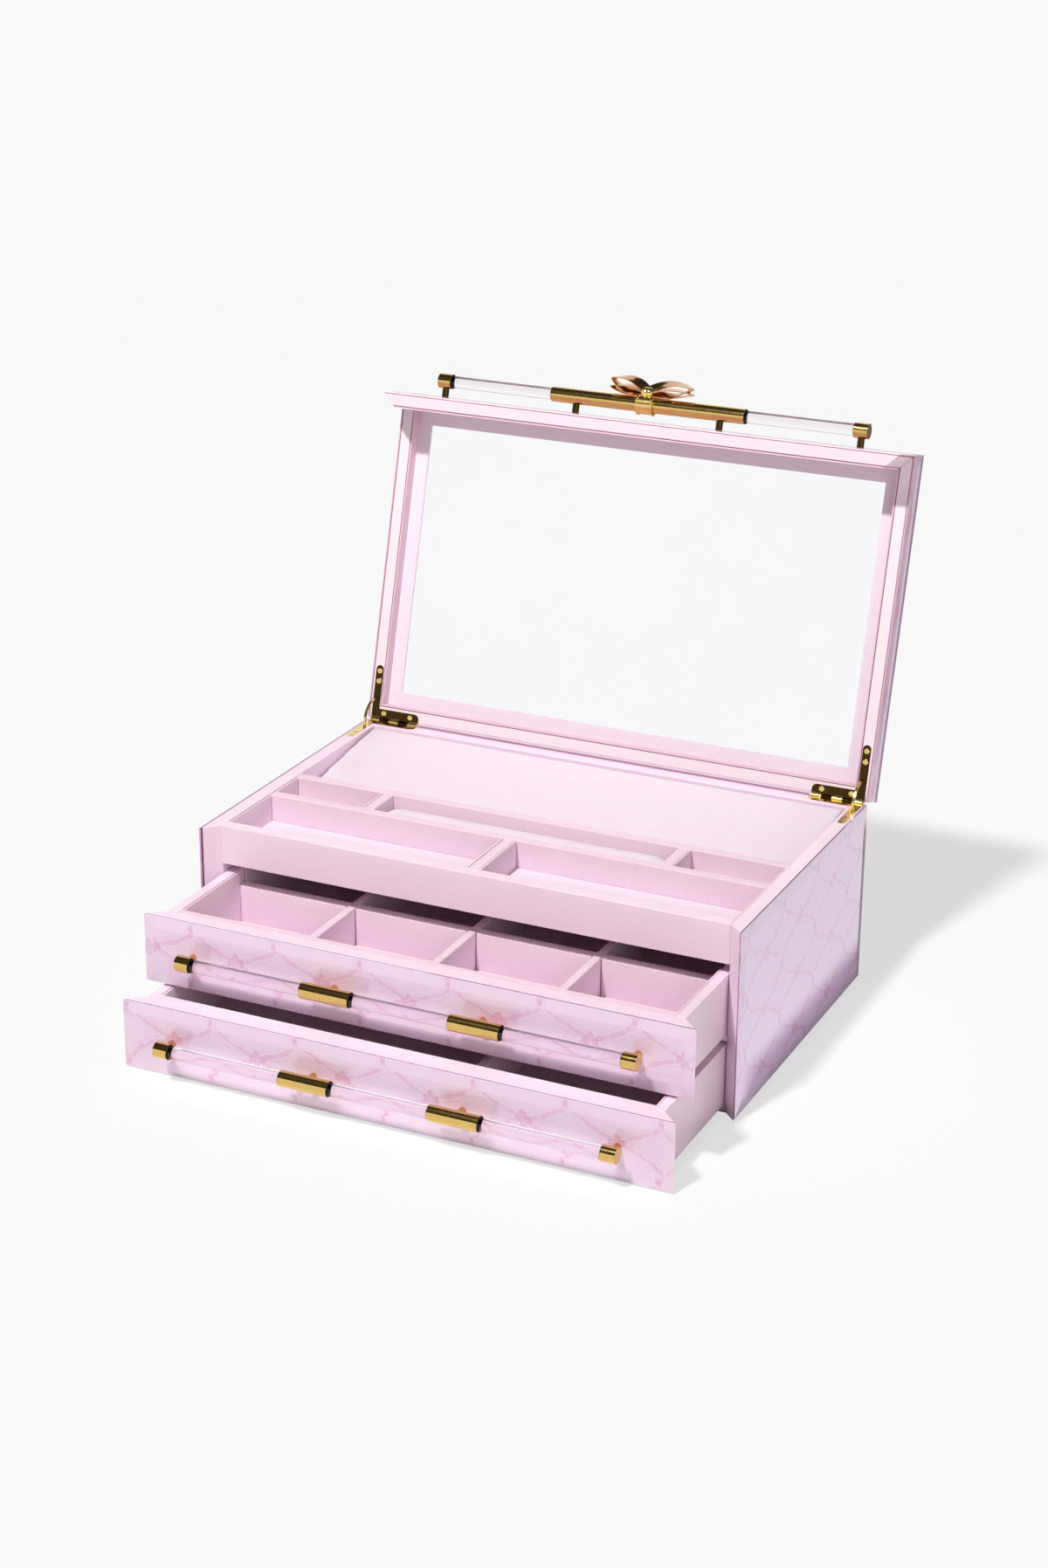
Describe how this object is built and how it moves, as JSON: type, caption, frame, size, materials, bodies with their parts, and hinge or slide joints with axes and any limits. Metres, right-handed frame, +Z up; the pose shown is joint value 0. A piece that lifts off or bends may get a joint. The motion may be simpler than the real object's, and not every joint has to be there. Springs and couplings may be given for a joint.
{
  "type": "jewellery box",
  "caption": "Glass-clad jewellery box with a lift-up mirrored lid on quadrant hinges, a divided suede tray, pull-out drawers and bar handles.",
  "frame": {"origin": "centre of the case footprint, on the surface that the box stands on", "axes": "+X to the right of the box seen from its front, +Y to its back where the hinges are, +Z up"},
  "size_m": [0.38, 0.4248, 0.386],
  "materials": {
    "pink_lacquered_board": "satin lacquer",
    "pink_suede": "fine napped suede",
    "pink_backed_glass": "back-printed, bevelled and polished",
    "mirror": "mirror",
    "polished_brass": "polished",
    "rose_gold": "polished",
    "clear_acrylic": "clear polished",
    "felt": "felt"
  },
  "bodies": {
    "case": {"base_felt": "felt", "base_board": "pink_lacquered_board", "case_side_right": "pink_lacquered_board", "case_side_left": "pink_lacquered_board", "case_back": "pink_lacquered_board", "front_rail": "pink_lacquered_board", "dust_panel": "pink_lacquered_board", "tray_floor": "pink_suede", "tray_long_dividers": "pink_suede", "tray_short_dividers": "pink_suede", "tray_lining": "pink_suede", "ring_cushion": "pink_suede", "sloped_pad": "pink_suede", "case_side_glass": "pink_backed_glass", "case_back_glass": "pink_backed_glass", "case_hinge_leaves": "polished_brass", "hinge_pins": "polished_brass", "case_hinge_screws": "polished_brass"},
    "lid": {"lid_front": "pink_lacquered_board", "lid_sides": "pink_lacquered_board", "lid_back_rail": "pink_lacquered_board", "lid_top_board": "pink_lacquered_board", "lid_top_glass": "pink_backed_glass", "lid_front_glass": "pink_backed_glass", "lid_side_glass": "pink_backed_glass", "lid_back_glass": "pink_backed_glass", "lid_liner": "pink_suede", "mirror_frame": "pink_suede", "mirror": "mirror", "lid_hinge_leaves": "polished_brass", "lid_hinge_screws": "polished_brass", "lid_handle_rod": "clear_acrylic", "lid_handle_sleeves": "polished_brass", "lid_handle_posts": "polished_brass", "handle_bow": "rose_gold"},
    "drawer_upper": {"upper_drawer_front": "pink_lacquered_board", "upper_drawer_front_glass": "pink_backed_glass", "upper_drawer_sides": "pink_suede", "upper_drawer_ends": "pink_suede", "upper_drawer_bottom": "pink_suede", "upper_drawer_dividers": "pink_suede", "upper_drawer_lining": "pink_suede", "upper_drawer_handle_rod": "clear_acrylic", "upper_drawer_handle_sleeves": "polished_brass", "upper_drawer_handle_posts": "polished_brass", "upper_drawer_long_divider": "pink_suede"},
    "drawer_lower": {"lower_drawer_front": "pink_lacquered_board", "lower_drawer_front_glass": "pink_backed_glass", "lower_drawer_sides": "pink_suede", "lower_drawer_ends": "pink_suede", "lower_drawer_bottom": "pink_suede", "lower_drawer_dividers": "pink_suede", "lower_drawer_lining": "pink_suede", "lower_drawer_handle_rod": "clear_acrylic", "lower_drawer_handle_sleeves": "polished_brass", "lower_drawer_handle_posts": "polished_brass"},
    "stay_left": {"hinge_stay_left": "polished_brass"},
    "stay_right": {"hinge_stay_right": "polished_brass"}
  },
  "joints": [
    {"name": "lid_hinge", "type": "hinge", "parent": "case", "child": "lid", "pos_m": [0, 0.117, 0.12875], "axis": [1, 0, 0], "range_deg": [0, 105]},
    {"name": "stay_left_turn", "type": "hinge", "parent": "case", "child": "stay_left", "pos_m": [0, 0.117, 0.12875], "axis": [1, 0, 0], "range_deg": [0, 52.5]},
    {"name": "stay_right_turn", "type": "hinge", "parent": "case", "child": "stay_right", "pos_m": [0, 0.117, 0.12875], "axis": [1, 0, 0], "range_deg": [0, 52.5]},
    {"name": "upper_slide", "type": "slide", "parent": "case", "child": "drawer_upper", "axis": [0, 1, 0], "range_m": [-0.0817, 0.0683]},
    {"name": "lower_slide", "type": "slide", "parent": "case", "child": "drawer_lower", "axis": [0, 1, 0], "range_m": [-0.0532, 0.0968]}
  ],
  "couplings": [
    {"joint": "stay_left_turn", "follows": "lid_hinge", "ratio": 0.5},
    {"joint": "stay_right_turn", "follows": "lid_hinge", "ratio": 0.5}
  ]
}
